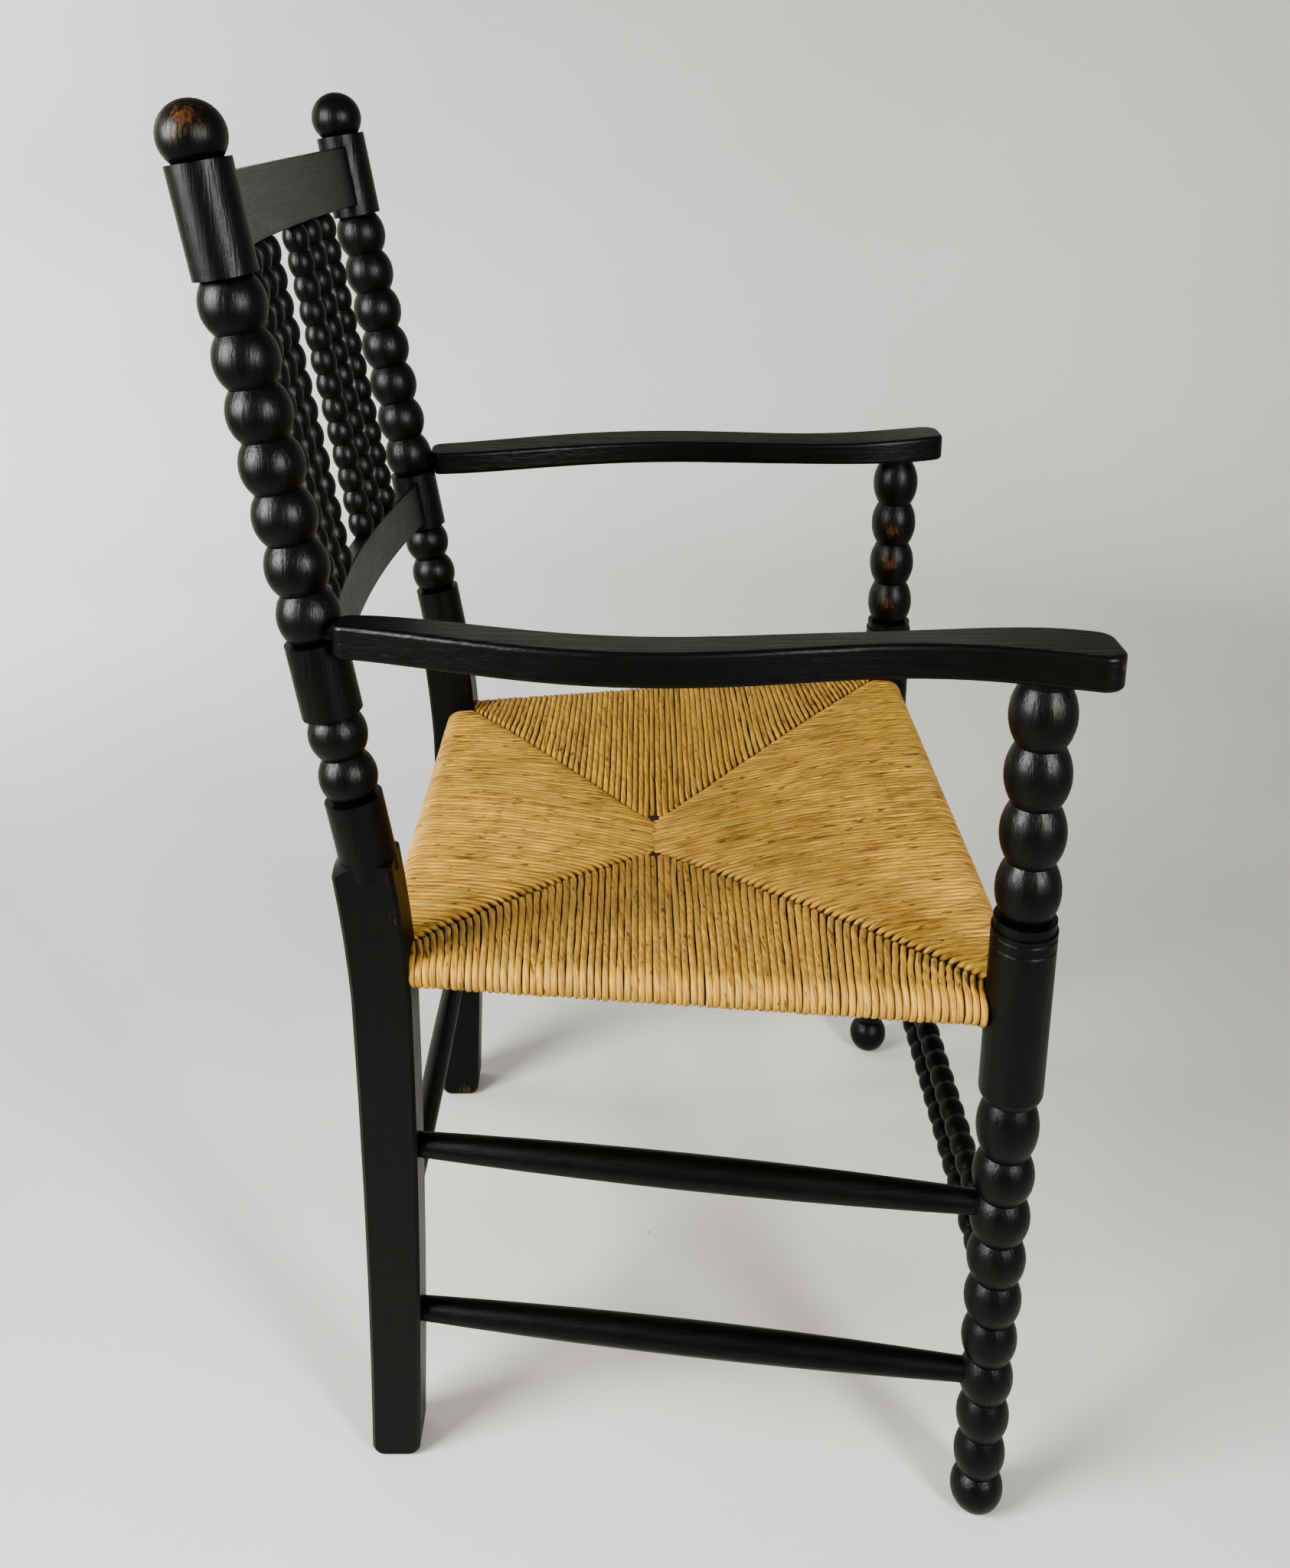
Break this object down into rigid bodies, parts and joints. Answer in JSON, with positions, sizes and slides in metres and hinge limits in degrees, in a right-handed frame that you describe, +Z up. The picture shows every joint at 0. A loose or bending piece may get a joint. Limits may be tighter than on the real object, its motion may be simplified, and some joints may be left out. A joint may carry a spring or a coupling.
{
  "type": "rush-seat elbow chair",
  "caption": "Ebonised bobbin-turned armchair with a woven rush seat, spindle back, bowed rails, ball finials and flat serpentine arms.",
  "frame": {"origin": "on the floor, at the middle of the chair's bounding box", "axes": "+X to the sitter's left, +Y to the back of the chair, +Z up"},
  "size_m": [0.5938, 0.5588, 0.9894],
  "materials": {
    "ebonised_wood": "satin black stain, worn to brown wood in places",
    "rail_wood": "bare turned wood, hidden inside the rush",
    "rush": "twisted natural rush, matte to satin"
  },
  "bodies": {
    "root": {"back_post_left": "ebonised_wood", "back_post_right": "ebonised_wood", "front_leg_left": "ebonised_wood", "front_leg_right": "ebonised_wood", "arm_left": "ebonised_wood", "arm_right": "ebonised_wood", "crest_rail": "ebonised_wood", "lower_back_rail": "ebonised_wood", "spindle_1": "ebonised_wood", "spindle_2": "ebonised_wood", "spindle_3": "ebonised_wood", "spindle_4": "ebonised_wood", "spindle_5": "ebonised_wood", "spindle_6": "ebonised_wood", "side_stretcher_upper_left": "ebonised_wood", "side_stretcher_upper_right": "ebonised_wood", "side_stretcher_lower_left": "ebonised_wood", "side_stretcher_lower_right": "ebonised_wood", "front_stretcher_upper": "ebonised_wood", "front_stretcher_lower": "ebonised_wood", "back_stretcher": "ebonised_wood", "seat_rail_front": "rail_wood", "seat_rail_back": "rail_wood", "seat_rail_left": "rail_wood", "seat_rail_right": "rail_wood", "rush_seat": "rush"}
  },
  "joints": []
}
